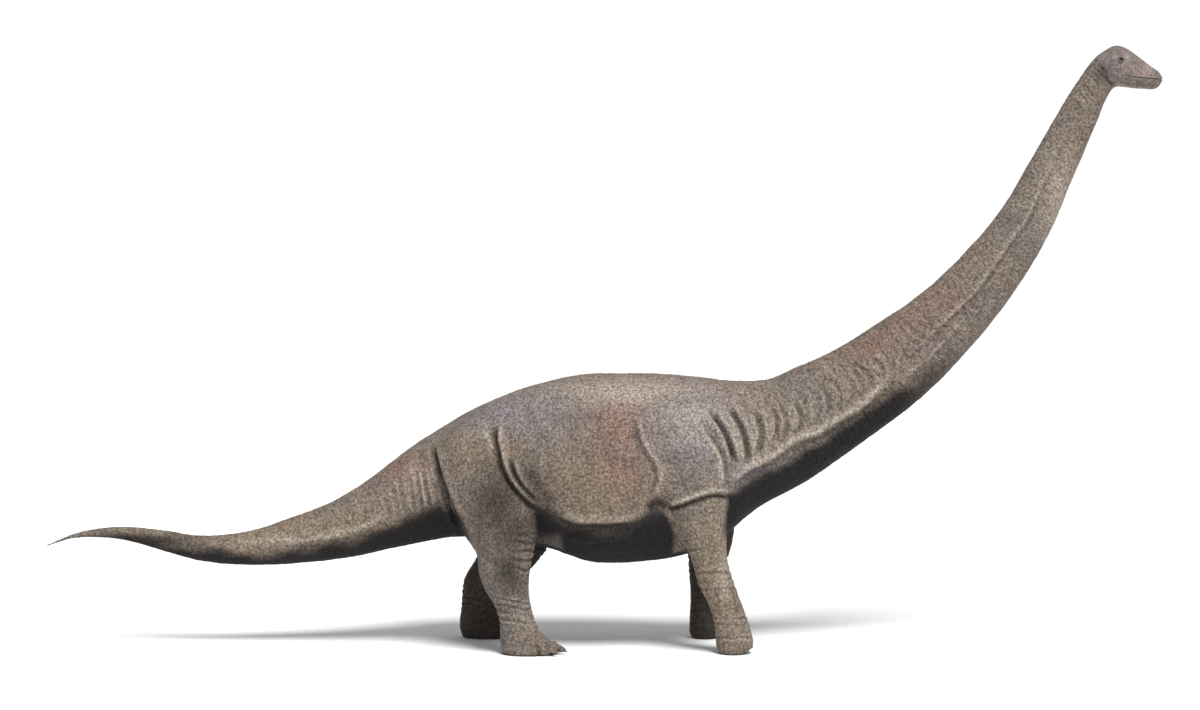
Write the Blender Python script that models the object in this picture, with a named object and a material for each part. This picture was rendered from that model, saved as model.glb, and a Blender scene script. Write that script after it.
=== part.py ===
"""A life-size sauropod dinosaur, standing, with one named object for each part of its body.

Lengths are in metres. The head points along +X, the left side is at +Y and the soles stand on Z = 0.
The trunk is one loft from the tip of the tail to the snout, parted by thin cuts; each leg is a loft of
level sections that is cut clear of the trunk that it grows from.
"""

import math

import bmesh
import bpy
import numpy as np

# Sizes that all parts share
GAP = 0.0003
TRUNK_POINTS = 28
LEG_POINTS = 24
SIDES = {"right": -1, "left": 1}

# The trunk, from the tip of the tail to the snout. Each section stands between a point of the back
# line and a point of the belly line. The level is how high its widest place lies, from belly (0) to
# back (1), and a fullness of 2 makes an ellipse, more a fuller section.
TRUNK_SECTIONS = (
    # back line        belly line       half width, level, fullness
    ((-11.14, 2.015), (-11.14, 1.985), 0.012, 0.50, 2.0),
    ((-10.46, 2.28), (-10.46, 2.17), 0.05, 0.50, 2.0),
    ((-9.62, 2.38), (-9.68, 2.13), 0.11, 0.50, 2.0),
    ((-8.82, 2.31), (-8.92, 1.93), 0.17, 0.50, 2.0),
    ((-8.00, 2.20), (-8.10, 1.70), 0.23, 0.50, 2.0),
    ((-7.16, 2.28), (-7.16, 1.61), 0.31, 0.48, 2.0),
    ((-6.32, 2.54), (-6.18, 1.64), 0.41, 0.46, 2.0),
    ((-5.46, 2.87), (-5.16, 1.75), 0.52, 0.45, 2.05),
    ((-4.70, 3.33), (-4.30, 1.93), 0.65, 0.45, 2.1),
    ((-3.96, 3.90), (-3.56, 2.08), 0.82, 0.46, 2.1),
    ((-3.16, 4.42), (-2.90, 2.18), 1.03, 0.48, 2.15),
    ((-2.36, 4.86), (-2.16, 2.14), 1.25, 0.48, 2.2),
    ((-1.30, 5.25), (-1.10, 1.96), 1.44, 0.46, 2.25),
    ((-0.10, 5.46), (-0.06, 1.66), 1.54, 0.45, 2.3),
    ((0.94, 5.46), (0.90, 1.70), 1.50, 0.45, 2.3),
    ((1.88, 5.39), (1.70, 1.84), 1.27, 0.44, 2.25),
    ((2.64, 5.31), (2.32, 2.11), 1.06, 0.42, 2.2),
    ((3.24, 5.33), (3.08, 2.75), 0.90, 0.38, 2.15),
    ((3.84, 5.57), (4.10, 3.31), 0.78, 0.36, 2.15),
    ((4.64, 5.93), (5.21, 4.09), 0.67, 0.36, 2.15),
    ((5.54, 6.49), (6.37, 4.97), 0.58, 0.37, 2.15),
    ((6.38, 7.07), (7.37, 6.00), 0.50, 0.38, 2.1),
    ((7.18, 7.82), (8.15, 6.99), 0.44, 0.40, 2.1),
    ((7.94, 8.72), (8.85, 8.13), 0.38, 0.42, 2.1),
    ((8.54, 9.72), (9.36, 9.32), 0.33, 0.44, 2.1),
    ((9.10, 10.70), (9.80, 10.36), 0.28, 0.46, 2.1),
    ((9.50, 11.34), (10.04, 10.94), 0.25, 0.48, 2.1),
    ((9.76, 11.70), (10.18, 11.15), 0.25, 0.48, 2.2),
    ((10.00, 11.89), (10.32, 11.18), 0.27, 0.47, 2.3),
    ((10.22, 11.99), (10.46, 11.17), 0.28, 0.46, 2.4),
    ((10.42, 11.93), (10.60, 11.15), 0.265, 0.46, 2.5),
    ((10.68, 11.75), (10.78, 11.135), 0.225, 0.46, 2.5),
    ((10.90, 11.58), (10.94, 11.12), 0.205, 0.46, 2.6),
    ((11.06, 11.47), (11.06, 11.16), 0.165, 0.48, 2.5),
    ((11.14, 11.37), (11.14, 11.28), 0.06, 0.50, 2.2),
)

# Where the trunk is parted, by the number of the section that the cut lies on, and the lengths that
# each part's skin is divided into
TRUNK_PARTS = (
    ("tail_tip", 0.0, 3.5, 10),
    ("tail_end", 3.5, 6.0, 8),
    ("tail_middle", 6.0, 8.0, 7),
    ("tail_base", 8.0, 10.0, 7),
    ("torso", 10.0, 17.0, 26),
    ("neck_base", 17.0, 19.0, 8),
    ("neck_lower", 19.0, 21.0, 8),
    ("neck_middle", 21.0, 23.0, 8),
    ("neck_upper", 23.0, 25.0, 7),
    ("neck_top", 25.0, 27.0, 6),
    ("skull", 27.0, 34.0, 20),
)

# The legs, from the sole up: height, rear and front of the section along X
HIND_RIGHT = (
    (0.00, -1.97, -0.92),
    (0.12, -2.01, -0.90),
    (0.30, -2.02, -1.12),
    (0.52, -2.02, -1.28),
    (0.88, -2.09, -1.40),
    (1.23, -2.30, -1.45),
    (1.60, -2.43, -1.44),
    (1.95, -2.47, -1.36),
    (2.26, -2.67, -1.31),
    (2.79, -2.94, -1.36),
    (3.41, -3.18, -1.80),
    (3.88, -3.22, -2.00),
    (4.30, -3.05, -2.14),
    (4.60, -2.72, -2.28),
)
HIND_LEFT = (
    (0.00, -2.87, -1.80),
    (0.12, -2.93, -1.77),
    (0.30, -2.94, -1.98),
    (0.52, -2.92, -2.12),
    (0.88, -2.89, -2.08),
    (1.23, -2.84, -1.66),
    (1.60, -2.62, -1.30),
    (1.95, -2.50, -1.10),
    (2.26, -2.62, -1.12),
    (2.79, -2.88, -1.26),
    (3.41, -3.14, -1.76),
    (3.88, -3.20, -1.98),
    (4.30, -3.05, -2.14),
    (4.60, -2.72, -2.28),
)
FORE_RIGHT = (
    (0.00, 2.27, 2.78),
    (0.06, 2.23, 2.90),
    (0.18, 2.22, 2.95),
    (0.50, 2.19, 2.88),
    (0.86, 2.11, 2.76),
    (1.37, 1.86, 2.57),
    (1.70, 1.77, 2.46),
    (2.01, 1.66, 2.42),
    (2.24, 1.52, 2.42),
    (2.58, 1.36, 2.42),
    (2.80, 1.32, 2.42),
    (2.88, 1.22, 2.48),
    (3.25, 1.01, 2.47),
    (3.65, 0.95, 2.42),
    (4.05, 0.92, 2.28),
    (4.45, 1.00, 2.00),
    (4.80, 1.20, 1.65),
)
FORE_LEFT = (
    (0.00, 1.82, 2.33),
    (0.06, 1.78, 2.45),
    (0.18, 1.77, 2.48),
    (0.50, 1.78, 2.44),
    (0.86, 1.79, 2.43),
    (1.37, 1.76, 2.48),
    (1.70, 1.74, 2.58),
    (2.01, 1.66, 2.67),
    (2.24, 1.52, 2.70),
    (2.58, 1.40, 2.70),
    (2.80, 1.36, 2.68),
    (2.88, 1.26, 2.70),
    (3.25, 1.05, 2.62),
    (3.65, 0.97, 2.48),
    (4.05, 0.92, 2.30),
    (4.45, 1.00, 2.00),
    (4.80, 1.20, 1.65),
)

# How far out each leg stands and its half width, by height
HIND_SPREAD = (
    (0.00, 1.12, 0.38),
    (0.30, 1.12, 0.36),
    (0.88, 1.12, 0.30),
    (1.60, 1.12, 0.38),
    (2.26, 1.12, 0.44),
    (2.79, 1.07, 0.51),
    (3.41, 0.98, 0.55),
    (3.88, 0.87, 0.54),
    (4.30, 0.72, 0.48),
    (4.60, 0.56, 0.38),
)
FORE_SPREAD = (
    (0.00, 1.04, 0.31),
    (0.18, 1.04, 0.35),
    (0.86, 1.06, 0.28),
    (1.70, 1.08, 0.33),
    (2.24, 1.10, 0.37),
    (2.80, 1.08, 0.42),
    (2.88, 1.03, 0.48),
    (3.25, 0.95, 0.51),
    (3.65, 0.87, 0.53),
    (4.05, 0.76, 0.52),
    (4.45, 0.62, 0.47),
    (4.80, 0.46, 0.40),
)
HIND_CUTS = (("hind_foot", 0.0, 0.70, 9), ("shank", 0.70, 2.10, 9), ("thigh", 2.10, 4.60, 13))
FORE_CUTS = (("forefoot", 0.0, 0.62, 5), ("forearm", 0.62, 2.36, 9), ("upper_arm", 2.36, 4.80, 16))
LEG_FULLNESS = 2.25

# Three toes on each hind foot, by the angle of the toe from straight ahead, outwards positive
TOES_DEG = (-20.0, 12.0, 44.0)
TOE_SWELL = 0.10
TOE_WIDTH_DEG = 11.0
TOE_TOP = 0.42
CLAW_LENGTH = 0.17
CLAW_RADIUS = 0.075
CLAW_HEIGHT = 0.125
CLAW_ROOT = 0.13
CLAW_DROP = 0.075
CLAW_CLEARANCE = 0.0006

# The head: the eyes with their lids, the nostrils and the mouth
EYE = (10.272, 0.240, 11.692)
EYE_RADIUS = 0.056
LID_RADIUS = 0.058
LID_THICKNESS = 0.019
NOSTRIL = (10.985, 0.128, 11.498)
NOSTRIL_SIZE = (0.034, 0.030, 0.018)
MOUTH_LINE = ((10.46, 11.405), (10.60, 11.372), (10.84, 11.335), (11.22, 11.305))
MOUTH_OPEN = 0.012
UNDER_JAW = 11.00
HEAD_HALF_WIDTH = 0.40

# Colour, roughness
HIDE = ((0.235, 0.200, 0.170), 0.78)
HORN = ((0.115, 0.100, 0.085), 0.50)
EYE_GLOSS = ((0.030, 0.018, 0.010), 0.12)


def clear_scene():
    """Removes the startup objects."""
    for thing in list(bpy.data.objects):
        bpy.data.objects.remove(thing)


def new_collection(name, hidden=False):
    """A collection under the scene's own."""
    group = bpy.data.collections.new(name)
    bpy.context.scene.collection.children.link(group)
    group.hide_render = hidden
    return group


def finish_material(name, colour, roughness):
    """A plain material of one colour."""
    material = bpy.data.materials.new(name)
    material.use_nodes = True
    shader = material.node_tree.nodes["Principled BSDF"]
    shader.inputs["Base Color"].default_value = (*colour, 1.0)
    shader.inputs["Roughness"].default_value = roughness
    shader.inputs["Metallic"].default_value = 0.0
    return material


def flow(knots, values, at):
    """A smooth curve through the values at the knots, with its slopes held so that it never overshoots."""
    knots = np.asarray(knots, float)
    values = np.asarray(values, float).reshape(len(knots), -1)
    at = np.atleast_1d(np.asarray(at, float))
    step = np.diff(knots)[:, None]
    rise = np.diff(values, axis=0) / step
    inner = (rise[:-1] * step[1:] + rise[1:] * step[:-1]) / (step[1:] + step[:-1])
    slope = np.vstack([rise[:1], inner, rise[-1:]])
    for side in (np.vstack([rise[:1], rise]), np.vstack([rise, rise[-1:]])):
        limit = 3.0 * np.abs(side)
        slope = np.where(slope * side <= 0.0, 0.0, np.clip(slope, -limit, limit))
    i = np.clip(np.searchsorted(knots, at, side="right") - 1, 0, len(knots) - 2)
    width = step[i]
    t = (at - knots[i])[:, None] / width
    return (
        values[i] * (2 * t**3 - 3 * t**2 + 1)
        + slope[i] * width * (t**3 - 2 * t**2 + t)
        + values[i + 1] * (3 * t**2 - 2 * t**3)
        + slope[i + 1] * width * (t**3 - t**2)
    )


def section(points, fullness):
    """Unit sideways and upward shares of a full, round outline, from its top round its left side."""
    turn = 2 * math.pi * np.arange(points) / points
    side, up = np.sin(turn), np.cos(turn)
    power = 2.0 / fullness
    return np.sign(side) * np.abs(side) ** power, np.sign(up) * np.abs(up) ** power


def trunk_ring(at, shift=0.0):
    """The section of the trunk at a section number, moved along its own normal by shift."""
    rows = np.array([(*back, *belly, *rest) for back, belly, *rest in TRUNK_SECTIONS])
    back_x, back_z, belly_x, belly_z, half_width, level, fullness = flow(range(len(rows)), rows, at)[0]
    belly = np.array([belly_x, 0.0, belly_z])
    rise = np.array([back_x, 0.0, back_z]) - belly
    forward = np.array([rise[2], 0.0, -rise[0]]) / np.linalg.norm(rise)
    side, up = section(TRUNK_POINTS, fullness)
    share = level + np.where(up > 0, (1.0 - level) * up, level * up)
    ring = belly + forward * shift + np.outer(share, rise)
    ring[:, 1] += side * half_width
    return ring


def toe_swell(turn, height, sign):
    """How much further out the foot reaches at each turn round its section, where a toe is."""
    fade = np.clip(1.0 - height / TOE_TOP, 0.0, 1.0) ** 0.5
    lobes = sum(
        np.exp(-(((np.degrees(turn) - sign * toe + 180.0) % 360.0 - 180.0) / TOE_WIDTH_DEG) ** 2)
        for toe in TOES_DEG
    )
    return 1.0 + TOE_SWELL * fade * lobes


def leg_ring(rows, spread, height, sign, shift=0.0, toes=False):
    """The level section of a leg at a height, for the side with that sign."""
    heights = [row[0] for row in rows]
    rear, front = flow(heights, [row[1:] for row in rows], height)[0]
    out, half_width = flow([row[0] for row in spread], [row[1:] for row in spread], height)[0]
    side, ahead = section(LEG_POINTS, LEG_FULLNESS)
    turn = 2 * math.pi * np.arange(LEG_POINTS) / LEG_POINTS
    swell = toe_swell(turn, height, sign) if toes else 1.0
    x = (rear + front) / 2 + (front - rear) / 2 * ahead * swell
    y = sign * out + half_width * side * swell
    return np.column_stack([x, y, np.full(LEG_POINTS, height + shift)])


def loft(name, rings, material, group):
    """A closed object through rings of points, with a flat cap on each end."""
    mesh = bmesh.new()
    loops = [[mesh.verts.new(point) for point in ring] for ring in rings]
    for lower, upper in zip(loops, loops[1:]):
        for i in range(len(lower)):
            j = (i + 1) % len(lower)
            mesh.faces.new((lower[i], lower[j], upper[j], upper[i]))
    mesh.faces.new(loops[0])
    mesh.faces.new(loops[-1])
    bmesh.ops.recalc_face_normals(mesh, faces=mesh.faces)
    return add_object(name, mesh, material, group)


def add_object(name, mesh, material, group):
    """An object of the finished mesh, in triangles, so that a copy that cuts it bends where it does."""
    bmesh.ops.triangulate(mesh, faces=mesh.faces, quad_method="SHORT_EDGE")
    data = bpy.data.meshes.new(name)
    mesh.to_mesh(data)
    mesh.free()
    data.shade_smooth()
    data.set_sharp_from_angle(angle=math.radians(50))
    if material:
        data.materials.append(material)
    thing = bpy.data.objects.new(name, data)
    group.objects.link(thing)
    return thing


def ellipsoid(name, centre, radii, group, material=None, segments=20):
    """A UV sphere scaled to three radii."""
    mesh = bmesh.new()
    bmesh.ops.create_uvsphere(mesh, u_segments=segments, v_segments=segments // 2, radius=1.0)
    bmesh.ops.scale(mesh, vec=radii, verts=mesh.verts)
    bmesh.ops.translate(mesh, vec=centre, verts=mesh.verts)
    return add_object(name, mesh, material, group)


def cutter(thing, clearance, cutters):
    """A hidden copy of a solid, grown by the clearance, to cut its neighbours with."""
    graph = bpy.context.evaluated_depsgraph_get()
    mesh = bmesh.new()
    mesh.from_mesh(thing.evaluated_get(graph).to_mesh())
    mesh.normal_update()
    grown = [vert.co + vert.normal * clearance for vert in mesh.verts]
    for vert, place in zip(mesh.verts, grown):
        vert.co = place
    tool = add_object(thing.name + "_cutter", mesh, None, cutters)
    hide_tool(tool)
    return tool


def hide_tool(tool):
    """Leaves a cutter out of the model."""
    tool.hide_render = True
    tool.display_type = "WIRE"


def combine(thing, tool, operation):
    """A Boolean modifier on a solid."""
    modifier = thing.modifiers.new(f"{operation.lower()} {tool.name}", "BOOLEAN")
    modifier.operation = operation
    modifier.solver = "EXACT"
    modifier.object = tool


def clear_of_trunk(thing, tools, names):
    """Cuts a leg's part back to the skin of the trunk's parts that it grows from."""
    for name in names:
        combine(thing, tools[name], "DIFFERENCE")


def make_trunk(material, body):
    """The tail, torso, neck and skull, each from cut to cut."""
    parts = {}
    for name, start, end, lengths in TRUNK_PARTS:
        places = np.linspace(start, end, lengths + 1)
        shifts = [GAP / 2] + [0.0] * (lengths - 1) + [-GAP / 2]
        rings = [trunk_ring(at, shift) for at, shift in zip(places, shifts)]
        parts[name] = loft(name, rings, material, body)
    return parts


def make_leg(rows, spread, cuts, side, material, body, toes=False):
    """The parts of one leg, from the sole to where it ends inside the trunk."""
    sign = SIDES[side]
    parts = {}
    for name, low, high, lengths in cuts:
        heights = np.linspace(low, high, lengths + 1)
        shifts = [GAP / 2 if low else 0.0] + [0.0] * (lengths - 1) + [-GAP / 2]
        rings = [leg_ring(rows, spread, z, sign, shift, toes) for z, shift in zip(heights, shifts)]
        parts[name] = loft(f"{name}_{side}", rings, material, body)
    return parts


def make_claws(foot, rows, spread, side, material, body, cutters):
    """Three claws on a hind foot, each a curved cone whose root is cut to the foot."""
    sign = SIDES[side]
    rear, front = flow([row[0] for row in rows], [row[1:] for row in rows], CLAW_HEIGHT)[0]
    out, half_width = flow([row[0] for row in spread], [row[1:] for row in spread], CLAW_HEIGHT)[0]
    tool = cutter(foot, CLAW_CLEARANCE, cutters)
    for number, toe in enumerate(TOES_DEG, start=1):
        turn = math.radians(sign * toe)
        ahead = np.array([math.cos(turn), math.sin(turn), 0.0])
        reach = np.array([(front - rear) / 2 * math.cos(turn), half_width * math.sin(turn), 0.0])
        root = np.array([(rear + front) / 2, sign * out, CLAW_HEIGHT]) + reach * (1 + TOE_SWELL)
        across = np.array([-ahead[1], ahead[0], 0.0])
        rings = []
        for share in np.linspace(0.0, 1.0, 7):
            along = share * (CLAW_LENGTH + CLAW_ROOT) - CLAW_ROOT
            centre = root + ahead * along - np.array([0.0, 0.0, CLAW_DROP * share**2])
            radius = CLAW_RADIUS * (1.0 - share**1.6) + 0.004
            around = 2 * math.pi * np.arange(10) / 10
            rings.append(
                centre
                + np.outer(np.cos(around) * radius * 1.15, across)
                + np.outer(np.sin(around) * radius, [0.0, 0.0, 1.0])
            )
        claw = loft(f"claw_{number}_{side}", rings, material, body)
        combine(claw, tool, "DIFFERENCE")


def jaw_room(name, opening, group):
    """A cutter that holds what lies under the mouth line, raised by the opening, and ahead of the jaw's root."""
    line = [(x, z + opening) for x, z in MOUTH_LINE]
    outline = [(line[0][0], UNDER_JAW), *line, (line[-1][0], UNDER_JAW)]
    mesh = bmesh.new()
    loops = [
        [mesh.verts.new((x, y, z)) for x, z in outline] for y in (-HEAD_HALF_WIDTH, HEAD_HALF_WIDTH)
    ]
    for i in range(len(outline)):
        j = (i + 1) % len(outline)
        mesh.faces.new((loops[0][i], loops[0][j], loops[1][j], loops[1][i]))
    for loop in loops:
        mesh.faces.new(loop)
    bmesh.ops.recalc_face_normals(mesh, faces=mesh.faces)
    tool = add_object(name, mesh, None, group)
    hide_tool(tool)
    return tool


def make_head(skull, hide, gloss, body, cutters):
    """Lids, eyes and nostrils on the skull, and the lower jaw parted from it."""
    jaw = skull.copy()
    jaw.data = skull.data.copy()
    jaw.name = "lower_jaw"
    body.objects.link(jaw)
    skull.name = "head"
    combine(jaw, jaw_room("jaw_room", 0.0, cutters), "INTERSECT")
    combine(skull, cutter(jaw_room("mouth_room", MOUTH_OPEN, cutters), GAP, cutters), "DIFFERENCE")
    for side, sign in SIDES.items():
        centre = (EYE[0], sign * EYE[1], EYE[2])
        lids = bpy.data.meshes.new(f"lids_{side}")
        mesh = bmesh.new()
        bmesh.ops.create_uvsphere(mesh, u_segments=16, v_segments=8, radius=LID_RADIUS + LID_THICKNESS)
        bmesh.ops.scale(mesh, vec=(1.15, 0.72, 1.0), verts=mesh.verts)
        bmesh.ops.translate(mesh, vec=centre, verts=mesh.verts)
        mesh.to_mesh(lids)
        mesh.free()
        rim = bpy.data.objects.new(f"lids_{side}", lids)
        cutters.objects.link(rim)
        hide_tool(rim)
        combine(skull, rim, "UNION")
        eye = ellipsoid(f"eye_{side}", centre, (EYE_RADIUS,) * 3, body, gloss, segments=14)
        combine(skull, cutter(eye, GAP, cutters), "DIFFERENCE")
        place = (NOSTRIL[0], sign * NOSTRIL[1], NOSTRIL[2])
        pit = ellipsoid(f"nostril_{side}_cutter", place, NOSTRIL_SIZE, cutters, segments=12)
        hide_tool(pit)
        combine(skull, pit, "DIFFERENCE")


def main():
    clear_scene()
    body = new_collection("sauropod")
    cutters = new_collection("cutters", hidden=True)
    hide = finish_material("hide", *HIDE)
    horn = finish_material("horn", *HORN)
    gloss = finish_material("eye_gloss", *EYE_GLOSS)
    trunk = make_trunk(hide, body)
    tools = {name: cutter(trunk[name], GAP, cutters) for name in ("tail_base", "torso", "neck_base")}
    for side, rows in (("right", HIND_RIGHT), ("left", HIND_LEFT)):
        leg = make_leg(rows, HIND_SPREAD, HIND_CUTS, side, hide, body, toes=True)
        clear_of_trunk(leg["thigh"], tools, ("torso", "tail_base"))
        clear_of_trunk(leg["shank"], tools, ("torso",))
        make_claws(leg["hind_foot"], rows, HIND_SPREAD, side, horn, body, cutters)
    for side, rows in (("right", FORE_RIGHT), ("left", FORE_LEFT)):
        leg = make_leg(rows, FORE_SPREAD, FORE_CUTS, side, hide, body)
        clear_of_trunk(leg["upper_arm"], tools, ("torso", "neck_base"))
        clear_of_trunk(leg["forearm"], tools, ("torso",))
    make_head(trunk["skull"], hide, gloss, body, cutters)


main()
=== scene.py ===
# %% [markdown]
# # A life-size sauropod in one skin
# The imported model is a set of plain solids: lengths of tail, neck and torso, the parts of each leg, claws
# and eyes. This lesson keeps the claws' and eyes' places and draws one seamless hide over all the flesh.
# The hide could be sculpted by hand, but a script can repeat it, so each fold is a short line that presses
# into a mesh.

# %% Load the frame
import math

import bmesh
import bpy
import numpy as np
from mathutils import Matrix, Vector


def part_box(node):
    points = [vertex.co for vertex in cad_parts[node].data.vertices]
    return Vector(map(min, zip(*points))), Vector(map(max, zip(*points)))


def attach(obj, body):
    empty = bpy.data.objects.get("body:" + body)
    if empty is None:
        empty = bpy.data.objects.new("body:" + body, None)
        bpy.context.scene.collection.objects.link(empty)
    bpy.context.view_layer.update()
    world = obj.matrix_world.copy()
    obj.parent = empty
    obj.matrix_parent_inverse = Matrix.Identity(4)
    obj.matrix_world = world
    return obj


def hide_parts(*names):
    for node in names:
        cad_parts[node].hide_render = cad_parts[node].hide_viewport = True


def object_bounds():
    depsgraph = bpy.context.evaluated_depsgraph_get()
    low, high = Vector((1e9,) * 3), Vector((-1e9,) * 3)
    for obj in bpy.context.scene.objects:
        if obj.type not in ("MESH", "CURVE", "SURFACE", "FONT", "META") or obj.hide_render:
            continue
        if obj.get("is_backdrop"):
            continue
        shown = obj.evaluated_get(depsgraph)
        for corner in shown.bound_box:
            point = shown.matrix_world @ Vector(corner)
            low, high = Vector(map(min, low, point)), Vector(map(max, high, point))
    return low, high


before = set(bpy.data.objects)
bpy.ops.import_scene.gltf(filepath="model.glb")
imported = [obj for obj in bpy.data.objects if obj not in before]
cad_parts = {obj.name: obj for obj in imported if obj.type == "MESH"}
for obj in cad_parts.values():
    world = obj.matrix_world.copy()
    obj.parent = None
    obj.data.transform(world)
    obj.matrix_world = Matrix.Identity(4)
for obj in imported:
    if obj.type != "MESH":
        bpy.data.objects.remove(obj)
cad_low, cad_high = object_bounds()

print("frame:", len(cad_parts), "nodes,", [round(b - a, 2) for a, b in zip(cad_low, cad_high)], "m")

# %% [markdown]
# ## The camera
# The animal is seen square from its right side, from far off, so the lens is long and the legs on the far
# side look only a little smaller. One pixel of the 1200 x 710 picture is 20 mm at the animal's middle. The
# camera comes first, because the folds are drawn later as they are seen from it.

# %% Camera
PICTURE_WIDTH = 1200
METRES_PER_PIXEL = 0.02
VIEW_DISTANCE = 46.0
VIEW_X = -0.06
EYE_HEIGHT = 7.0
AIM_HEIGHT = 5.82
SENSOR = 36.0

camera_data = bpy.data.cameras.new("camera")
camera = bpy.data.objects.new("camera", camera_data)
bpy.context.scene.collection.objects.link(camera)
camera.location = (VIEW_X, -VIEW_DISTANCE, EYE_HEIGHT)
aim = Vector((VIEW_X, 0.0, AIM_HEIGHT)) - camera.location
camera.rotation_euler = aim.to_track_quat("-Z", "Y").to_euler()
camera_data.sensor_width = SENSOR
camera_data.lens = SENSOR * aim.length / (PICTURE_WIDTH * METRES_PER_PIXEL)
bpy.context.scene.camera = camera
print("camera: lens", round(camera_data.lens, 1), "mm")

# %% [markdown]
# ## Small helpers
# Smooth steps, random-looking waves and distances to a drawn line are needed again and again. They work on
# whole arrays of points at once, because a loop over half a million points would take minutes.


# %% Helpers for arrays of points
def smoothstep(low, high, value):
    """0 below low, 1 above high, smooth in between. With low above high it falls instead."""
    share = np.clip((value - low) / (high - low), 0.0, 1.0)
    return share * share * (3.0 - 2.0 * share)


def waves(points, size, seed, count=6):
    """A soft, patternless field from -1 to 1: a few sine waves of about one size in random directions."""
    draw = np.random.default_rng(seed)
    total = np.zeros(len(points))
    for _ in range(count):
        way = draw.normal(size=3)
        way /= np.linalg.norm(way)
        length = size * draw.uniform(0.7, 1.5)
        total += np.sin(points @ way * (2.0 * math.pi / length) + draw.uniform(0.0, 2.0 * math.pi))
    return total / count * 1.6


def curve_through(points, spacing):
    """Points at even spacing along a smooth curve through a few drawn ones."""
    points = np.asarray(points, float)
    ends = np.vstack([2 * points[0] - points[1], points, 2 * points[-1] - points[-2]])
    smooth = []
    for a, b, c, d in zip(ends, ends[1:], ends[2:], ends[3:]):
        t = np.linspace(0.0, 1.0, 9)[:-1, None]
        smooth.append(
            0.5 * (2 * b + (c - a) * t + (2 * a - 5 * b + 4 * c - d) * t**2 + (3 * b - a - 3 * c + d) * t**3)
        )
    smooth = np.vstack([*smooth, points[-1:]])
    run = np.concatenate([[0.0], np.cumsum(np.linalg.norm(np.diff(smooth, axis=0), axis=1))])
    at = np.linspace(0.0, run[-1], max(3, int(run[-1] / spacing) + 1))
    return np.column_stack([np.interp(at, run, column) for column in smooth.T])


def near_line(seen, line):
    """For points in the picture plane: signed distance to a line, and how far along it, from 0 to 1."""
    best = np.full(len(seen), 1e9)
    signed = np.zeros(len(seen))
    along = np.zeros(len(seen))
    steps = len(line) - 1
    for i, (a, b) in enumerate(zip(line, line[1:])):
        way = b - a
        length = np.linalg.norm(way)
        way = way / length
        rel = seen - a
        share = np.clip(rel @ way, 0.0, length)
        off = rel - share[:, None] * way
        distance = np.hypot(off[:, 0], off[:, 1])
        closer = distance < best
        best = np.where(closer, distance, best)
        side = np.sign(way[0] * rel[:, 1] - way[1] * rel[:, 0])
        signed = np.where(closer, distance * side, signed)
        along = np.where(closer, (i + share / length) / steps, along)
    return signed, along


def from_one_side(points):
    """The same places with those of the right flank laid over those of the left."""
    return np.column_stack((points[:, 0], np.abs(points[:, 1]), points[:, 2]))


def tidy_object(name, mesh):
    """An object at the origin that holds a bmesh."""
    data = bpy.data.meshes.new(name)
    mesh.to_mesh(data)
    mesh.free()
    thing = bpy.data.objects.new(name, data)
    bpy.context.scene.collection.objects.link(thing)
    return thing


def bake_modifiers(thing):
    """Turns an object and its modifiers into one plain mesh."""
    graph = bpy.context.evaluated_depsgraph_get()
    data = bpy.data.meshes.new_from_object(thing.evaluated_get(graph))
    thing.modifiers.clear()
    old = thing.data
    thing.data = data
    bpy.data.meshes.remove(old)
    return thing


def read_points(data):
    """All vertices of a mesh, as rows of x, y, z."""
    flat = np.empty(len(data.vertices) * 3, np.float32)
    data.vertices.foreach_get("co", flat)
    return flat.reshape(-1, 3).astype(float)


def write_points(data, points):
    """Moves all vertices of a mesh."""
    data.vertices.foreach_set("co", points.astype(np.float32).ravel())
    data.update()


def read_normals(data):
    """The outward direction at each vertex."""
    flat = np.empty(len(data.vertices) * 3, np.float32)
    data.vertex_normals.foreach_get("vector", flat)
    return flat.reshape(-1, 3).astype(float)


def store(data, name, values):
    """Keeps one number for each vertex, for a material or a node tree to read."""
    layer = data.attributes.get(name) or data.attributes.new(name, "FLOAT", "POINT")
    layer.data.foreach_set("value", np.asarray(values, np.float32))


# %% [markdown]
# ## One body from many solids
# A real animal has no seams. The plain solids of the flesh are copied, each grown by a millimetre so that
# neighbours touch, and a Voxel Remesh wraps them all in one closed net of even squares. Joining them with
# Booleans would keep every facet and sliver; the voxel net forgets them.

# %% Copy the flesh and wrap it
HARD_PARTS = ("claw", "eye")
TOUCH = 0.001
COARSE_NET = 0.04


def add_solids(mesh, names):
    """Adds grown copies of CAD nodes to a bmesh."""
    for name in names:
        part = bmesh.new()
        part.from_mesh(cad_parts[name].data)
        bmesh.ops.remove_doubles(part, verts=part.verts, dist=1e-5)
        part.normal_update()
        grown = [vert.co + vert.normal * TOUCH for vert in part.verts]
        for vert, place in zip(part.verts, grown):
            vert.co = place
        spare = bpy.data.meshes.new("spare")
        part.to_mesh(spare)
        part.free()
        mesh.from_mesh(spare)
        bpy.data.meshes.remove(spare)


def wrap(thing, net):
    """Covers a mesh with one closed net of squares."""
    remesh = thing.modifiers.new("wrap", "REMESH")
    remesh.mode = "VOXEL"
    remesh.voxel_size = net
    return bake_modifiers(thing)


def island_of(vert, inside=lambda vert: True):
    """The vertices that hang together with one, followed only through those inside some limit."""
    found, edge = set(), [vert]
    while edge:
        vert = edge.pop()
        if vert not in found:
            found.add(vert)
            if inside(vert):
                edge.extend(link.other_vert(vert) for link in vert.link_edges)
    return found


flesh = sorted(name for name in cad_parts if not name.startswith(HARD_PARTS))
whole = bmesh.new()
add_solids(whole, flesh)
hide = tidy_object("hide", whole)
wrap(hide, COARSE_NET)
print("wrapped", len(flesh), "solids in", len(hide.data.polygons), "squares")

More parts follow.
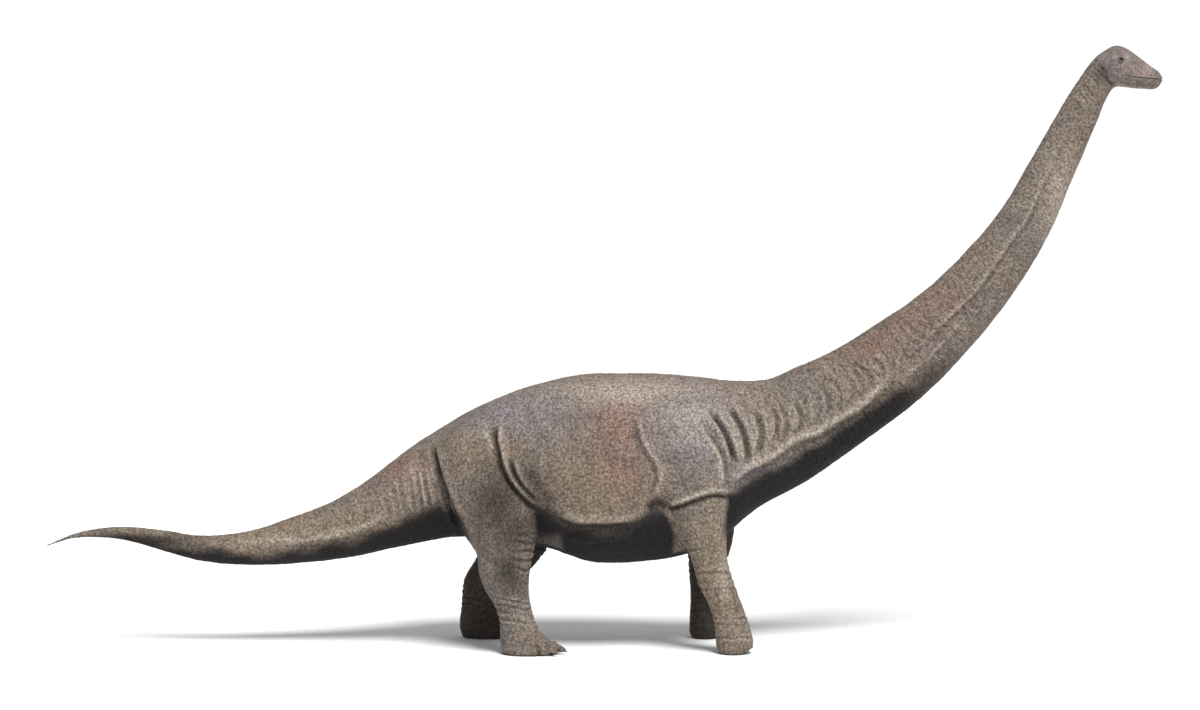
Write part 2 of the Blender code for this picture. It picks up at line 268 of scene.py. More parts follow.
# %% [markdown]
# ## Rounding
# The solids have flat facets and hard corners where the legs meet the body. Smoothing evens them out, but
# plain smoothing also shrinks: a leg would lose a tenth of its width. So each step that pulls the net in is
# followed by one that pushes it out again by almost as much, which keeps the size and takes only the
# roughness.


# %% Smooth without shrinking
def neighbours(data):
    """Both ends of every edge, and the number of edges at each vertex."""
    flat = np.empty(len(data.edges) * 2, np.int32)
    data.edges.foreach_get("vertices", flat)
    pairs = flat.reshape(-1, 2)
    return pairs, np.maximum(np.bincount(pairs.ravel(), minlength=len(data.vertices)), 1)


def spread(values, pairs, count):
    """The mean of each vertex's neighbours, for one or more columns."""
    one, two = pairs[:, 0], pairs[:, 1]
    columns = [
        np.bincount(one, column[two], len(count)) + np.bincount(two, column[one], len(count))
        for column in values.T
    ]
    return np.column_stack(columns) / count[:, None]


def round_off(thing, rounds, weigh=None, pull=0.6, push=-0.63):
    """Pulls each point towards its neighbours and pushes it back, again and again."""
    points = read_points(thing.data)
    pairs, count = neighbours(thing.data)
    weight = np.ones(len(points)) if weigh is None else weigh(points)
    for _ in range(rounds):
        for step in (pull, push):
            points += (spread(points, pairs, count) - points) * (step * weight)[:, None]
    write_points(thing.data, points)


HEAD_ROOT = np.array([9.97, 0.0, 11.42])
HEAD_WAY = np.array([0.795, 0.0, 0.607])
TAIL_THIN = (-9.8, -8.6)
FOOT_TOP = (0.25, 0.9)
BODY_ROUNDS = 45
LIMB_ROUNDS = 60


def softness(points):
    """How much each point is rounded: fully on the body, hardly on the head, feet and tail's end."""
    head = smoothstep(-0.35, 0.10, (points - HEAD_ROOT) @ HEAD_WAY)
    tail = smoothstep(TAIL_THIN[1], TAIL_THIN[0], points[:, 0])
    foot = smoothstep(FOOT_TOP[1], FOOT_TOP[0], points[:, 2])
    return 1.0 - np.maximum.reduce([head, tail, 0.9 * foot])


round_off(hide, BODY_ROUNDS, softness)


def limb_tops(points):
    """1 where the tops of the legs join the body, 0 elsewhere."""
    x, y, z = points.T
    hip = smoothstep(2.9, 3.5, z) * smoothstep(-4.0, -3.5, x) * smoothstep(-0.9, -1.5, x)
    shoulder = smoothstep(3.1, 3.6, z) * smoothstep(0.3, 0.8, x) * smoothstep(3.2, 2.6, x)
    return smoothstep(0.35, 0.75, np.abs(y)) * np.maximum(hip, shoulder)


round_off(hide, LIMB_ROUNDS, limb_tops, push=0.0)
print("rounded off", len(hide.data.vertices), "points")

# %% [markdown]
# The first net was too coarse for the head, the feet and the end of the tail, so their solids are laid over
# it once more and all is wrapped again in a finer net. A small ball at each claw's root closes the skin
# round it. The finest end of the tail is thinner than two squares: it breaks into crumbs, which are cleared
# away, and the rest is drawn out to its true reach.

# %% Finer net
FINE_NET = 0.021
SMALL_PARTS = ("eye", "forefoot", "head", "hind_foot", "lower_jaw", "tail_tip")
TIP_START = -10.2
ROOT_BALL = 0.055
ROOT_SHARE = 0.20

finer = bmesh.new()
finer.from_mesh(hide.data)
add_solids(finer, sorted(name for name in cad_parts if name.startswith(SMALL_PARTS)))
for name in sorted(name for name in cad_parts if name.startswith("claw")):
    horn_points = read_points(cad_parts[name].data)
    low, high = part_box(f"hind_foot_{name.split('_')[2]}")
    reach = np.linalg.norm(horn_points[:, :2] - [(low.x + high.x) / 2, (low.y + high.y) / 2], axis=1)
    root = horn_points[reach < np.quantile(reach, ROOT_SHARE)].mean(axis=0)
    ball = bmesh.ops.create_icosphere(finer, subdivisions=2, radius=ROOT_BALL)
    bmesh.ops.translate(finer, vec=Vector(root), verts=ball["verts"])
finer.to_mesh(hide.data)
finer.free()
wrap(hide, FINE_NET)
kept = bmesh.new()
kept.from_mesh(hide.data)
kept.verts.ensure_lookup_table()
stray = [vert for vert in kept.verts if vert.co.x < TIP_START]
while stray:
    island = island_of(stray[0], lambda vert: vert.co.x < TIP_START)
    stray = [vert for vert in stray if vert not in island]
    if max(vert.co.x for vert in island) < TIP_START:
        bmesh.ops.delete(kept, geom=list(island), context="VERTS")
kept.to_mesh(hide.data)
kept.free()
points = read_points(hide.data)
past = points[:, 0] < TIP_START
stretch = (TIP_START - cad_low.x) / (TIP_START - points[:, 0].min())
points[past, 0] = TIP_START + (points[past, 0] - TIP_START) * stretch
write_points(hide.data, points)
round_off(hide, 5)
print("finer net:", len(hide.data.polygons), "squares, the tail's end drawn out", round(stretch, 3), "times")

# %% [markdown]
# ## Where things are on the animal
# Folds and colours follow the body, not the room. Each point gets three sets of places: where it shows in
# the picture, seen from its own side; how far it lies along the body and off the body's middle line; and
# how much it belongs to a leg. The middle line runs through the middle of each length of tail, neck and
# torso.

# %% Places on the body
LENGTHS = ("tail_tip", "tail_end", "tail_middle", "tail_base", "torso", "neck_base", "neck_lower",
           "neck_middle", "neck_upper", "neck_top", "head")
LOWER_LEGS = ("shank", "hind_foot", "forearm", "forefoot")
UPPER_LEGS = (((1.8, 2.8, 3.4, 4.0), (-2.5, -2.9, -3.15, -3.2), (-1.30, -1.40, -1.80, -2.0)),
              ((1.8, 2.4, 2.9, 4.0), (1.62, 1.42, 1.15, 0.95), (2.46, 2.42, 2.48, 2.3)))
LEG_EDGE = (0.12, 0.0)
LOWER_TOP = (2.85, 2.35)
UPPER_TOP = (3.60, 2.90)


def middle_of(name):
    """The middle of a CAD node, in the picture plane."""
    low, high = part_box(name)
    return ((low.x + high.x) / 2, (low.z + high.z) / 2)


def seen_from_side(points):
    """Where each point shows in the picture plane, from a camera on its own side of the animal."""
    scale = VIEW_DISTANCE / (VIEW_DISTANCE - np.abs(points[:, 1]))
    across = VIEW_X + (points[:, 0] - VIEW_X) * scale
    up = EYE_HEIGHT + (points[:, 2] - EYE_HEIGHT) * scale
    return np.column_stack([across, up])


def leg_share(points):
    """1 on the legs below the body, 0 on the body, smooth in between."""
    share = np.zeros(len(points))
    for name in (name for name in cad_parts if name.startswith(LOWER_LEGS)):
        low, high = (np.array(corner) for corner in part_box(name))
        outside = np.maximum(np.maximum(low - points, points - high)[:, :2], 0.0).max(axis=1)
        share = np.maximum(share, smoothstep(*LEG_EDGE, outside))
    return share * smoothstep(*LOWER_TOP, points[:, 2])


def upper_leg_share(seen):
    """1 on the thigh and the upper arm as they show from the side, 0 on the body."""
    share = np.zeros(len(seen))
    for heights, rear, front in UPPER_LEGS:
        behind = smoothstep(-0.08, 0.04, seen[:, 0] - np.interp(seen[:, 1], heights, rear))
        ahead = smoothstep(0.08, -0.04, seen[:, 0] - np.interp(seen[:, 1], heights, front))
        share = np.maximum(share, behind * ahead)
    return share * smoothstep(*UPPER_TOP, seen[:, 1])


tail_end = (cad_low.x, 2.0)
snout = (cad_high.x, 11.3)
middle_line = curve_through([tail_end, *(middle_of(name) for name in LENGTHS), snout], 0.25)
print("middle line:", len(middle_line), "points,", round(0.25 * (len(middle_line) - 1), 1), "m")

# %% [markdown]
# The head is small and close to the eye, so its squares are halved once, and those round the eyes, nostrils
# and lips once more. Halving only there keeps the whole hide light enough to work with.

# %% Finer squares on the head
EYE = np.array([10.272, 0.240, 11.692])
NOSTRIL = np.array([10.985, 0.128, 11.498])
MOUTH = ((10.40, 11.412), (10.60, 11.372), (10.84, 11.335), (11.24, 11.303))


def halve(thing, choose):
    """Cuts every edge of the chosen faces in two."""
    mesh = bmesh.new()
    mesh.from_mesh(thing.data)
    mesh.faces.ensure_lookup_table()
    centres = np.array([face.calc_center_median() for face in mesh.faces])
    edges = {edge for i in np.flatnonzero(choose(centres)) for edge in mesh.faces[i].edges}
    edges = sorted(edges, key=lambda edge: edge.index)
    bmesh.ops.subdivide_edges(mesh, edges=edges, cuts=1, use_grid_fill=True, smooth=0.0)
    mesh.to_mesh(thing.data)
    mesh.free()


def on_head(points):
    """True for points of the head and the top of the throat."""
    return (points - HEAD_ROOT) @ HEAD_WAY > -0.15


def near_features(points):
    """True near an eye, a nostril or the mouth."""
    eye = np.linalg.norm(from_one_side(points) - EYE, axis=1) < 0.15
    nostril = np.linalg.norm(from_one_side(points) - NOSTRIL, axis=1) < 0.08
    lips = np.abs(near_line(points[:, [0, 2]], np.array(MOUTH))[0]) < 0.035
    return eye | nostril | (lips & (points[:, 0] > 10.35) & on_head(points))


halve(hide, on_head)
round_off(hide, 3, lambda points: on_head(points) * 1.0)
halve(hide, near_features)
print("hide has", len(hide.data.polygons), "faces")

# %% [markdown]
# ## Pressing folds
# A fold in thick hide is a narrow dent with a rounded lip beside it. Each one is drawn as a few points as
# seen from the side; the points near that line move in or out along their own outward direction. The same
# lines serve both sides. A fold also keeps painted shade for its dent and a painted highlight for its lip,
# which the material darkens and lightens there.

# %% Set up the pressing
WANDER = 0.02

points = read_points(hide.data)
outward = read_normals(hide.data)
side = np.sign(points[:, 1])
wander = np.column_stack([waves(points, 0.9, 11), waves(points, 0.9, 12)]) * WANDER
seen = seen_from_side(points) + wander
legs = leg_share(points)
facing = smoothstep(0.02, 0.40, outward[:, 1] * side)
# pale holds painted highlight and dark holds painted shade, for the material to mix in
push = np.zeros(len(points))
pale = np.zeros(len(points))
dark = np.zeros(len(points))


def press(line, groove=0.0, ridge=0.0, width=0.06, lip=1, light=0.0, shade=0.0, where=None, taper=0.22):
    """Presses a groove along a line, with a raised lip on its left (1), its right (-1) or both sides (0)."""
    line = curve_through(line, max(0.5 * width, 0.02))
    reach = 5.0 * width
    low, high = line.min(0) - reach, line.max(0) + reach
    near = np.flatnonzero(((seen > low) & (seen < high)).all(axis=1))
    off, along = near_line(seen[near], line)
    fade = smoothstep(0.0, taper, along) * smoothstep(1.0, 1.0 - taper, along)
    fade = fade * (facing if where is None else where)[near]
    dent = np.exp(-((off / width) ** 2)) * fade
    lip_off = np.abs(off) if lip == 0 else off * lip
    rise = np.exp(-(((lip_off - 1.7 * width) / (1.1 * width)) ** 2)) * fade
    push[near] += ridge * rise - groove * dent
    # painted highlight along the lip, painted shade in the dent
    pale[near] = np.maximum(pale[near], light * rise)
    dark[near] = np.maximum(dark[near], shade * dent)


print("pressing on", len(points), "points")

# %% [markdown]
# ## Shoulder and the base of the neck
# The shoulder blade's front edge and the sleeve of skin above the forelimb are the strongest lines. In
# front of them the neck's skin bunches into upright folds, bowed towards the head, that fade as the neck
# thins. The first ones are drawn one by one; a loop makes the rest between the back and the line of the
# neck's side.

# %% Press the shoulder and neck folds
SHOULDER_FRONT = ((1.86, 4.58), (2.20, 4.14), (2.40, 3.78), (2.47, 3.46), (2.52, 3.14))
NECK_FOLDS = (
    ((2.10, 4.74), (2.44, 4.24), (2.58, 3.86), (2.64, 3.56)),
    ((2.46, 4.86), (2.72, 4.46), (2.86, 4.12), (2.90, 3.80), (2.84, 3.52)),
    ((3.02, 4.78), (3.14, 4.46), (3.18, 4.14), (3.10, 3.74)),
)
SLEEVE = ((1.22, 2.70), (1.47, 2.76), (1.83, 2.89), (2.16, 3.00), (2.43, 3.00), (2.62, 2.92))
ARMPIT = ((0.90, 2.62), (1.12, 2.80), (1.40, 2.74))
FLANK_EDGE = ((0.63, 4.62), (0.72, 4.18), (0.84, 3.87), (1.03, 3.59), (1.07, 3.36), (0.98, 3.08),
              (1.03, 2.82))
NECK_SIDE = ((2.50, 3.13), (2.90, 3.38), (3.39, 3.62), (3.89, 3.97), (4.32, 4.14), (4.88, 4.47), (5.38, 4.80),
             (5.90, 5.36))

press(SHOULDER_FRONT, groove=0.030, ridge=0.045, width=0.055, lip=-1, light=1.0, shade=0.5)
for number, line in enumerate(NECK_FOLDS):
    strength = 1.0 - 0.18 * number
    press(line, groove=0.075 * strength, ridge=0.055 * strength, width=0.060, lip=0, light=0.9 * strength,
          shade=0.9 * strength)
press(SLEEVE, groove=0.060, ridge=0.030, width=0.055, lip=1, light=1.0, shade=1.0, taper=0.12)
press(ARMPIT, groove=0.12, width=0.14, shade=0.9)
press(FLANK_EDGE, groove=0.030, ridge=0.022, width=0.052, lip=1, light=0.7, shade=0.6)
press(NECK_SIDE, groove=0.050, ridge=0.034, width=0.080, lip=1, light=1.0, shade=0.5, taper=0.12)

NECK_LINE = ((5.62, 4.90), (5.90, 5.52), (6.57, 6.16), (7.12, 6.70), (7.50, 7.08), (7.83, 7.54), (8.26, 8.18),
             (8.46, 8.43), (8.84, 9.20), (9.18, 10.03), (9.56, 10.70))
NECK_LINE_TOO = ((6.00, 5.24), (6.60, 5.80), (7.08, 6.28), (7.36, 6.66))
press(NECK_LINE, groove=0.018, ridge=0.016, width=0.040, lip=1, light=0.6, shade=0.45, taper=0.35)
press(NECK_LINE_TOO, groove=0.012, ridge=0.012, width=0.036, lip=1, light=0.5, shade=0.3)

NECK_FOLD_COUNT = 15
NECK_FOLD_GAP = 0.215
draw = np.random.default_rng(4)
for i in range(NECK_FOLD_COUNT):
    x = 3.36 + NECK_FOLD_GAP * i + draw.uniform(-0.06, 0.06)
    top = np.interp(x, (3.3, 4.2, 5.2, 6.4), (4.78, 5.16, 5.66, 6.50)) + draw.uniform(-0.08, 0.05)
    foot = np.interp(x, (3.3, 4.2, 5.2, 6.4), (3.86, 4.34, 4.92, 5.96)) + draw.uniform(-0.05, 0.12)
    lean = np.interp(x, (3.3, 6.4), (0.02, 0.34))
    bow = 0.10 + draw.uniform(-0.02, 0.03)
    strength = np.interp(i, (0, NECK_FOLD_COUNT - 1), (0.80, 0.30)) * draw.uniform(0.45, 1.0)
    line = ((x - lean, top), (x + bow - lean * 0.4, (2 * top + foot) / 3), (x + bow, (top + 2 * foot) / 3),
            (x, foot))
    press(line, groove=0.042 * strength, ridge=0.030 * strength, width=0.050, lip=0, light=0.7 * strength,
          shade=0.7 * strength)
print("neck folds:", len(NECK_FOLDS) + NECK_FOLD_COUNT, "a side")

# %% [markdown]
# ## Flank, belly and hip
# The rib cage ends in a soft edge that overhangs the belly. The skin between belly and thigh is drawn into
# two long creases in front of the thigh, and behind the hip it hangs in upright wrinkles at the root of the
# tail.

# %% Press the flank and hip folds
THIGH_FRONT = ((-2.12, 4.46), (-2.15, 4.14), (-2.09, 3.80), (-2.00, 3.50), (-1.84, 3.24), (-1.58, 2.94),
               (-1.32, 2.66))
THIGH_FRONT_TOO = ((-1.86, 3.76), (-1.80, 3.50), (-1.70, 3.30), (-1.50, 3.04), (-1.30, 2.84))
FLANK_HOLLOW = ((-1.62, 3.52), (-1.42, 3.26), (-1.22, 2.98), (-0.98, 2.70))
RIB_EDGE = ((-1.20, 2.84), (-0.96, 2.52), (-0.61, 2.33), (-0.30, 2.30), (0.22, 2.31), (0.72, 2.40),
            (1.06, 2.58))
BELLY_CREASE = ((-0.90, 2.16), (-0.58, 2.04), (-0.18, 2.01), (0.36, 2.07), (0.72, 2.26))
THIGH_REAR = ((-3.42, 4.10), (-3.34, 3.62), (-3.23, 3.28), (-3.12, 2.97), (-2.96, 2.62), (-2.84, 2.34))
TAIL_SIDE = ((-7.4, 1.98), (-6.7, 1.97), (-6.0, 1.98), (-5.2, 2.14), (-4.6, 2.34), (-4.1, 2.60))
HIP_HIGHLIGHT = ((-2.44, 4.34), (-2.36, 4.14), (-2.24, 3.90))

press(THIGH_FRONT, groove=0.085, ridge=0.050, width=0.050, lip=1, light=0.9, shade=1.0, taper=0.12)
press(THIGH_FRONT_TOO, groove=0.070, ridge=0.035, width=0.050, lip=0, light=0.6, shade=1.0)
press(FLANK_HOLLOW, groove=0.10, width=0.16, shade=0.55)
press(RIB_EDGE, groove=0.070, ridge=0.034, width=0.100, lip=1, light=0.5, shade=0.7, taper=0.30)
press(BELLY_CREASE, groove=0.020, ridge=0.022, width=0.035, lip=1, light=0.9)
press(THIGH_REAR, groove=0.080, ridge=0.040, width=0.060, lip=0, light=0.3, shade=0.9, taper=0.15)
press(TAIL_SIDE, groove=0.020, ridge=0.020, width=0.070, lip=1, light=0.7)
press(HIP_HIGHLIGHT, ridge=0.012, width=0.030, lip=1, light=0.7)

TAIL_WRINKLES = 6
for i in range(TAIL_WRINKLES):
    x = -3.56 - 0.15 * i + draw.uniform(-0.05, 0.05)
    top = np.interp(x, (-4.9, -3.5), (2.95, 3.72)) + draw.uniform(-0.10, 0.10)
    foot = np.interp(x, (-4.9, -3.5), (2.35, 2.62)) + draw.uniform(-0.08, 0.12)
    strength = np.interp(i, (0, TAIL_WRINKLES - 1), (1.0, 0.3))
    line = ((x - 0.08, top), (x + 0.02, (top + foot) / 2), (x + 0.12, foot))
    press(line, groove=0.018 * strength, ridge=0.016 * strength, width=0.045, lip=0, light=0.6 * strength,
          shade=0.5 * strength)
print("flank, hip and tail pressed, deepest", round(float(-push.min()), 3), "m")

# %% [markdown]
# ## Wrinkles round the legs
# A leg folds where it bends: at the knee, ankle, elbow and wrist. These wrinkles run round the leg, so they
# can't be drawn from the side. Each is a level ring on one leg, waved up and down, strongest on the side it
# bends to.


# %% Press the rings on the legs
def ring(leg, height, groove, width, tilt=0.0, face=0.0, light=0.4, shade=0.5):
    """A wrinkle round a leg. Face 1 puts it in front, -1 behind, 0 all round; tilt raises its front."""
    low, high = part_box(leg)
    inside = (points[:, 0] > low.x - 0.1) & (points[:, 0] < high.x + 0.1)
    inside = inside & (np.abs(points[:, 2] - height) < 0.4)
    near = np.flatnonzero(inside & (side == np.sign(low.y + high.y)) & (np.abs(points[:, 1]) > 0.55))
    rise = points[near, 2] - height - tilt * (points[near, 0] - (low.x + high.x) / 2)
    rise = rise + 0.035 * waves(points[near], 0.5, int(height * 100))
    amount = 1.0 if face == 0.0 else smoothstep(-0.2, 0.8, outward[near, 0] * face)
    amount = amount * np.clip(0.7 + 0.6 * waves(points[near], 0.7, int(height * 100) + 1), 0.0, 1.0)
    dent = np.exp(-((rise / width) ** 2)) * amount
    swell = np.exp(-(((np.abs(rise) - 1.7 * width) / width) ** 2)) * amount
    push[near] += groove * (0.6 * swell - dent)
    # painted highlight on the swells beside the wrinkle, painted shade in its dent
    pale[near] = np.maximum(pale[near], light * swell)
    dark[near] = np.maximum(dark[near], shade * dent)


for flank in ("right", "left"):
    for height in (2.42, 2.26, 2.08, 1.90, 1.74):
        ring(f"shank_{flank}", height, 0.026, 0.030, tilt=-0.10, face=1.0)
    for height in (1.02, 0.90, 0.78, 0.64, 0.52):
        ring(f"hind_foot_{flank}", height, 0.012, 0.026, tilt=-0.18)
    for height in (2.30, 2.12):
        ring(f"forearm_{flank}", height, 0.016, 0.030, tilt=0.10, face=-1.0)
    for height in (1.62, 1.46, 1.30):
        ring(f"forearm_{flank}", height, 0.012, 0.030, tilt=0.06)
    for height in (0.72, 0.60, 0.46, 0.34):
        ring(f"forefoot_{flank}", height, 0.009, 0.022)
print("leg rings pressed")

# %% [markdown]
# ## Toes
# The hind foot has three clawed toes that stand out only near the ground. The grooves between them run up
# the foot at set angles from its middle, so they are pressed by angle and height and not by a line.

# %% Press the toes
TOE_GAPS_DEG = (-36.0, -4.0, 28.0, 60.0)
TOE_GAP_WIDTH_DEG = 5.5
TOE_GAP_TOP = 0.40
TOE_GAP_DEPTH = 0.035

for flank, sign in (("right", -1), ("left", 1)):
    low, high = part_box(f"hind_foot_{flank}")
    on_foot = (points[:, 2] < 0.6) & (points[:, 0] > low.x) & (points[:, 0] < high.x + 0.05)
    near = np.flatnonzero((side == sign) & on_foot)
    rel = points[near] - np.array([(low.x + high.x) / 2, (low.y + high.y) / 2, 0.0])
    angle = np.degrees(np.arctan2(rel[:, 1] * sign, rel[:, 0]))
    fade = smoothstep(TOE_GAP_TOP, 0.10, points[near, 2])
    for gap in TOE_GAPS_DEG:
        dent = np.exp(-(((angle - gap) / TOE_GAP_WIDTH_DEG) ** 2)) * fade
        push[near] -= TOE_GAP_DEPTH * dent
        # painted shade in the gaps between the toes
        dark[near] = np.maximum(dark[near], 0.7 * dent)
print("toes pressed")

# %% [markdown]
# ## The head
# The mouth is a long, shallow line between two thin lips. The brow hangs a little over the eye, a hollow
# runs from the eye to the nostril, and the cheek swells over the jaw's muscle. The ear is a small pit at
# the back.

# %% Press the head
on_skull = on_head(points).astype(float)
BROW = ((10.09, 11.77), (10.23, 11.80), (10.37, 11.77), (10.48, 11.70))
UNDER_EYE = ((10.13, 11.61), (10.24, 11.585), (10.37, 11.61))
SNOUT_HOLLOW = ((10.42, 11.68), (10.60, 11.61), (10.80, 11.55))
CHEEK = ((10.12, 11.52), (10.24, 11.46), (10.38, 11.44))
JAW_LINE = ((10.20, 11.28), (10.40, 11.235), (10.60, 11.215), (10.86, 11.20))
THROAT = ((9.98, 11.40), (10.06, 11.26), (10.17, 11.16))
EAR = ((9.955, 11.545), (9.975, 11.49))
THROAT_FOLDS = 5

press(MOUTH, groove=0.020, ridge=0.010, width=0.009, lip=0, light=0.3, shade=1.0, where=on_skull, taper=0.04)
press(BROW, ridge=0.018, width=0.030, lip=-1, light=0.5, where=on_skull)
press(UNDER_EYE, groove=0.004, ridge=0.008, width=0.014, lip=-1, light=0.3, shade=0.1, where=on_skull)
press(SNOUT_HOLLOW, groove=0.016, width=0.050, shade=0.15, where=on_skull)
press(CHEEK, ridge=0.018, width=0.060, lip=0, where=on_skull)
press(JAW_LINE, groove=0.008, ridge=0.012, width=0.022, lip=-1, light=0.3, shade=0.4, where=on_skull)
press(THROAT, groove=0.024, ridge=0.010, width=0.030, lip=0, light=0.1, shade=0.6)
press(EAR, groove=0.030, width=0.022, shade=1.0, where=on_skull, taper=0.4)
for i in range(THROAT_FOLDS):
    x, z = 9.86 - 0.10 * i, 11.40 - 0.15 * i
    line = ((x - 0.10, z + 0.16), (x + 0.05, z + 0.02), (x + 0.16, z - 0.16))
    press(line, groove=0.012, ridge=0.008, width=0.020, lip=0, light=0.2, shade=0.4)

points += outward * push[:, None]
points[:, 2] = np.maximum(points[:, 2], 0.0)
write_points(hide.data, points)
print("pressed in at most", round(float(-push.min()), 3), "m, out at most", round(float(push.max()), 3), "m")

# %% [markdown]
# The lids are two folds of skin that lie on the eyeball and leave an almond between them. Points over the
# eye are set on a ball just wider than the eyeball, and those inside the almond are sunk behind it. The
# nostril is a slanting pit with a raised rim.

# %% Shape the lids and nostrils
LID_BALL = 0.066
LID_REACH = 0.125
SLIT_HALF = (0.052, 0.031)
SLIT_TILT = math.radians(-14.0)
SUNK = -0.010
NOSTRIL_HALF = (0.040, 0.019)
NOSTRIL_TILT = math.radians(-28.0)
NOSTRIL_DEPTH = 0.026


def in_plane(rel, tilt):
    """Places across and up a feature, seen from the side and turned by its tilt."""
    across = rel[:, 0] * math.cos(tilt) + rel[:, 2] * math.sin(tilt)
    up = rel[:, 2] * math.cos(tilt) - rel[:, 0] * math.sin(tilt)
    return across, up


outward = read_normals(hide.data)
for sign in (-1, 1):
    rel = points - EYE * (1, sign, 1)
    across, up = in_plane(rel, SLIT_TILT)
    reach = np.hypot(across, up)
    near = np.flatnonzero((reach < LID_REACH) & (rel[:, 1] * sign > -0.08) & (side == sign))
    dome = np.sqrt(np.maximum(LID_BALL**2 - reach[near] ** 2, 0.0))
    slit = SLIT_HALF[1] * (1.0 - (across[near] / SLIT_HALF[0]) ** 2)
    inside = smoothstep(0.003, -0.003, np.abs(up[near]) - slit)
    rim = 0.006 * np.exp(-(((np.abs(up[near]) - slit - 0.006) / 0.006) ** 2)) * (reach[near] < LID_BALL)
    target = EYE[1] + (dome + rim) * (1.0 - inside) + SUNK * inside
    blend = smoothstep(LID_REACH, 0.056, reach[near])
    points[near, 1] += (sign * target - points[near, 1]) * blend
    # painted shade along the edges of the lids
    lid_edge = smoothstep(0.008, 0.0, np.abs(np.abs(up[near]) - slit)) * (reach[near] < 0.062)
    dark[near] = np.maximum(dark[near], 0.9 * lid_edge)
    rel = points - NOSTRIL * (1, sign, 1)
    across, up = in_plane(rel, NOSTRIL_TILT)
    near = np.flatnonzero((np.hypot(across, up) < 0.12) & (np.abs(rel[:, 1]) < 0.10) & (side == sign))
    ring_at = np.hypot(across[near] / NOSTRIL_HALF[0], up[near] / NOSTRIL_HALF[1])
    pit = smoothstep(1.15, 0.55, ring_at)
    lip = np.exp(-(((ring_at - 1.45) / 0.35) ** 2))
    points[near] += outward[near] * (0.007 * lip - NOSTRIL_DEPTH * pit)[:, None]
    # painted shade inside the nostril pit
    dark[near] = np.maximum(dark[near], pit)
write_points(hide.data, points)
round_off(hide, 1, lambda places: np.full(len(places), 0.5))
print("lids and nostrils shaped")

# %% [markdown]
# ## Colour by place
# The animal is grey brown with rusty patches on the flank, the top of the neck and the root of the tail, a
# lilac grey back and a pale pinkish snout. Its underside is nearly black, partly its own colour and partly
# painted shade. Painted shade also darkens spots on the hind leg, behind the jaw and under the tail, and the
# hollows by the thigh, armpit and throat; painted highlights brighten the brow, shoulder, back, front of the
# neck, forearm and knee. Each of these is kept as one number for each point, so that the colours follow the
# body and bake with it. Fine mottling is left to the material.

# %% Store what the material reads
SHADE_LINE = ((-11.1, 2.02), (-9.8, 2.24), (-8.8, 2.12), (-8.0, 1.94), (-7.1, 1.90), (-6.1, 1.95),
              (-5.2, 2.14), (-4.6, 2.32), (-4.0, 2.58), (-3.4, 2.78), (-2.7, 2.70), (-1.9, 2.84),
              (-1.2, 2.84), (-0.7, 2.46), (0.2, 2.36), (0.9, 2.62), (1.6, 2.86), (2.5, 3.14),
              (3.39, 3.61), (3.89, 3.90), (4.64, 4.34), (5.74, 5.08), (6.47, 5.54), (7.13, 6.04),
              (7.9, 6.70), (8.7, 7.45), (9.3, 8.9), (10.0, 10.6), (10.2, 11.12), (10.7, 11.14),
              (11.2, 11.14))
RUST = (((0.30, 4.34), (0.62, 0.74)), ((-3.95, 3.52), (0.62, 0.36)), ((5.45, 5.98), (0.60, 0.34)),
        ((6.15, 6.42), (0.62, 0.40)), ((6.80, 6.92), (0.42, 0.30)), ((0.40, 3.60), (0.42, 0.5)))
LILAC = (((1.7, 4.5), (1.0, 0.8)), ((-1.9, 4.7), (1.3, 0.5)), ((2.9, 3.5), (0.6, 0.3)),
         ((10.2, 11.6), (0.5, 0.35)), ((1.9, 4.1), (0.5, 0.5)))
TAN = (((-0.35, 3.1), (1.1, 0.75)), ((2.3, 1.6), (0.6, 1.2)), ((-2.6, 3.9), (0.7, 0.5)),
       ((-6.2, 2.3), (2.2, 0.5)))
ROSY = (((10.78, 11.52), (0.36, 0.17)), ((0.60, 4.98), (0.40, 0.22)), ((10.42, 11.24), (0.22, 0.05)),
        ((-3.75, 3.35), (0.28, 0.3)))
# painted shade: spots on the thigh, knee and shank, behind the jaw, behind the thigh and under the tail
PAINTED_SHADE_SPOTS = (((-2.10, 2.85), (0.62, 0.85)), ((-1.70, 2.20), (0.55, 0.55)), ((-1.85, 1.50), (0.35, 0.60)),
        ((9.95, 11.42), (0.16, 0.22)), ((-3.30, 2.55), (0.35, 0.45)), ((-9.0, 2.1), (0.9, 0.14)))
# painted shade in hollows: in front of the thigh, under the flank, in the armpit and at the throat
PAINTED_HOLLOW_SHADE = (((-1.40, 2.90), (0.24, 0.42)), ((-1.10, 2.42), (0.34, 0.32)), ((1.02, 2.66), (0.14, 0.12)),
           ((10.12, 11.23), (0.06, 0.04)))
# painted highlights on the brow, shoulder, back, front of the neck, forearm and knee
PAINTED_HIGHLIGHTS = (((10.43, 11.76), (0.07, 0.045)), ((2.0, 4.35), (0.55, 0.35)), ((9.1, 8.7), (0.35, 1.1)),
          ((1.94, 4.62), (0.75, 0.28)), ((0.4, 5.1), (1.6, 0.25)), ((2.42, 1.35), (0.12, 0.50)),
          ((-1.52, 2.74), (0.10, 0.12)), ((3.2, 3.72), (0.5, 0.2)))
NECK_FADE = (7.8, 5.8)


def patch(places, spots):
    """How strongly each point lies in soft oval spots."""
    total = np.zeros(len(places))
    for centre, size in spots:
        away = ((places - np.array(centre)) / np.array(size)) ** 2
        total = np.maximum(total, np.exp(-away.sum(axis=1)))
    return total


